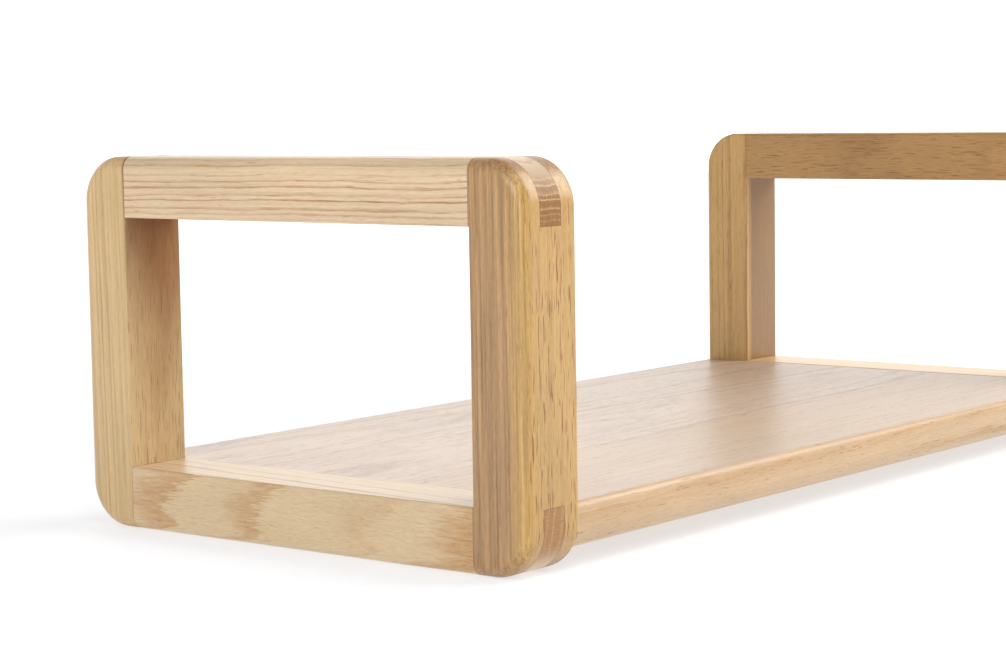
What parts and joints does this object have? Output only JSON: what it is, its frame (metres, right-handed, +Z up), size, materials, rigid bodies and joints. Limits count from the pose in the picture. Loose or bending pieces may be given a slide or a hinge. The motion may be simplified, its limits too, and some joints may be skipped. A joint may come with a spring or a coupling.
{
  "type": "wall rack",
  "caption": "Oak wall rack: a shelf board between open rectangular end frames whose flat top rails carry a bicycle's top tube, hung on hidden keyhole plates.",
  "frame": {"origin": "on the wall plane, midway between the two keyhole hangers, at the height of their screw-head entry holes", "axes": "+X along the shelf, from the left frame to the right frame seen from the room; +Y into the wall, so the room side faces -Y; +Z up"},
  "size_m": [0.522, 0.242, 0.16],
  "materials": {
    "oak_upright": "straight-grained oak under satin lacquer",
    "oak_rail": "pale oak under satin lacquer",
    "oak_shelf": "edge-glued oak boards under satin lacquer",
    "beech_dowel": "plain turned wood, hidden",
    "hanger_steel": "zinc-plated sheet",
    "screw_steel": "yellow-passivated zinc"
  },
  "bodies": {
    "root": {"left_front_upright": "oak_upright", "left_back_upright": "oak_upright", "left_top_rail": "oak_rail", "left_bottom_rail": "oak_rail", "left_shelf_dowels": "beech_dowel", "left_hanger_plate": "hanger_steel", "left_hanger_screws": "screw_steel", "right_front_upright": "oak_upright", "right_back_upright": "oak_upright", "right_top_rail": "oak_rail", "right_bottom_rail": "oak_rail", "right_shelf_dowels": "beech_dowel", "right_hanger_plate": "hanger_steel", "right_hanger_screws": "screw_steel", "shelf_front_stave": "oak_shelf", "shelf_middle_stave": "oak_shelf", "shelf_back_stave": "oak_shelf"}
  },
  "joints": []
}
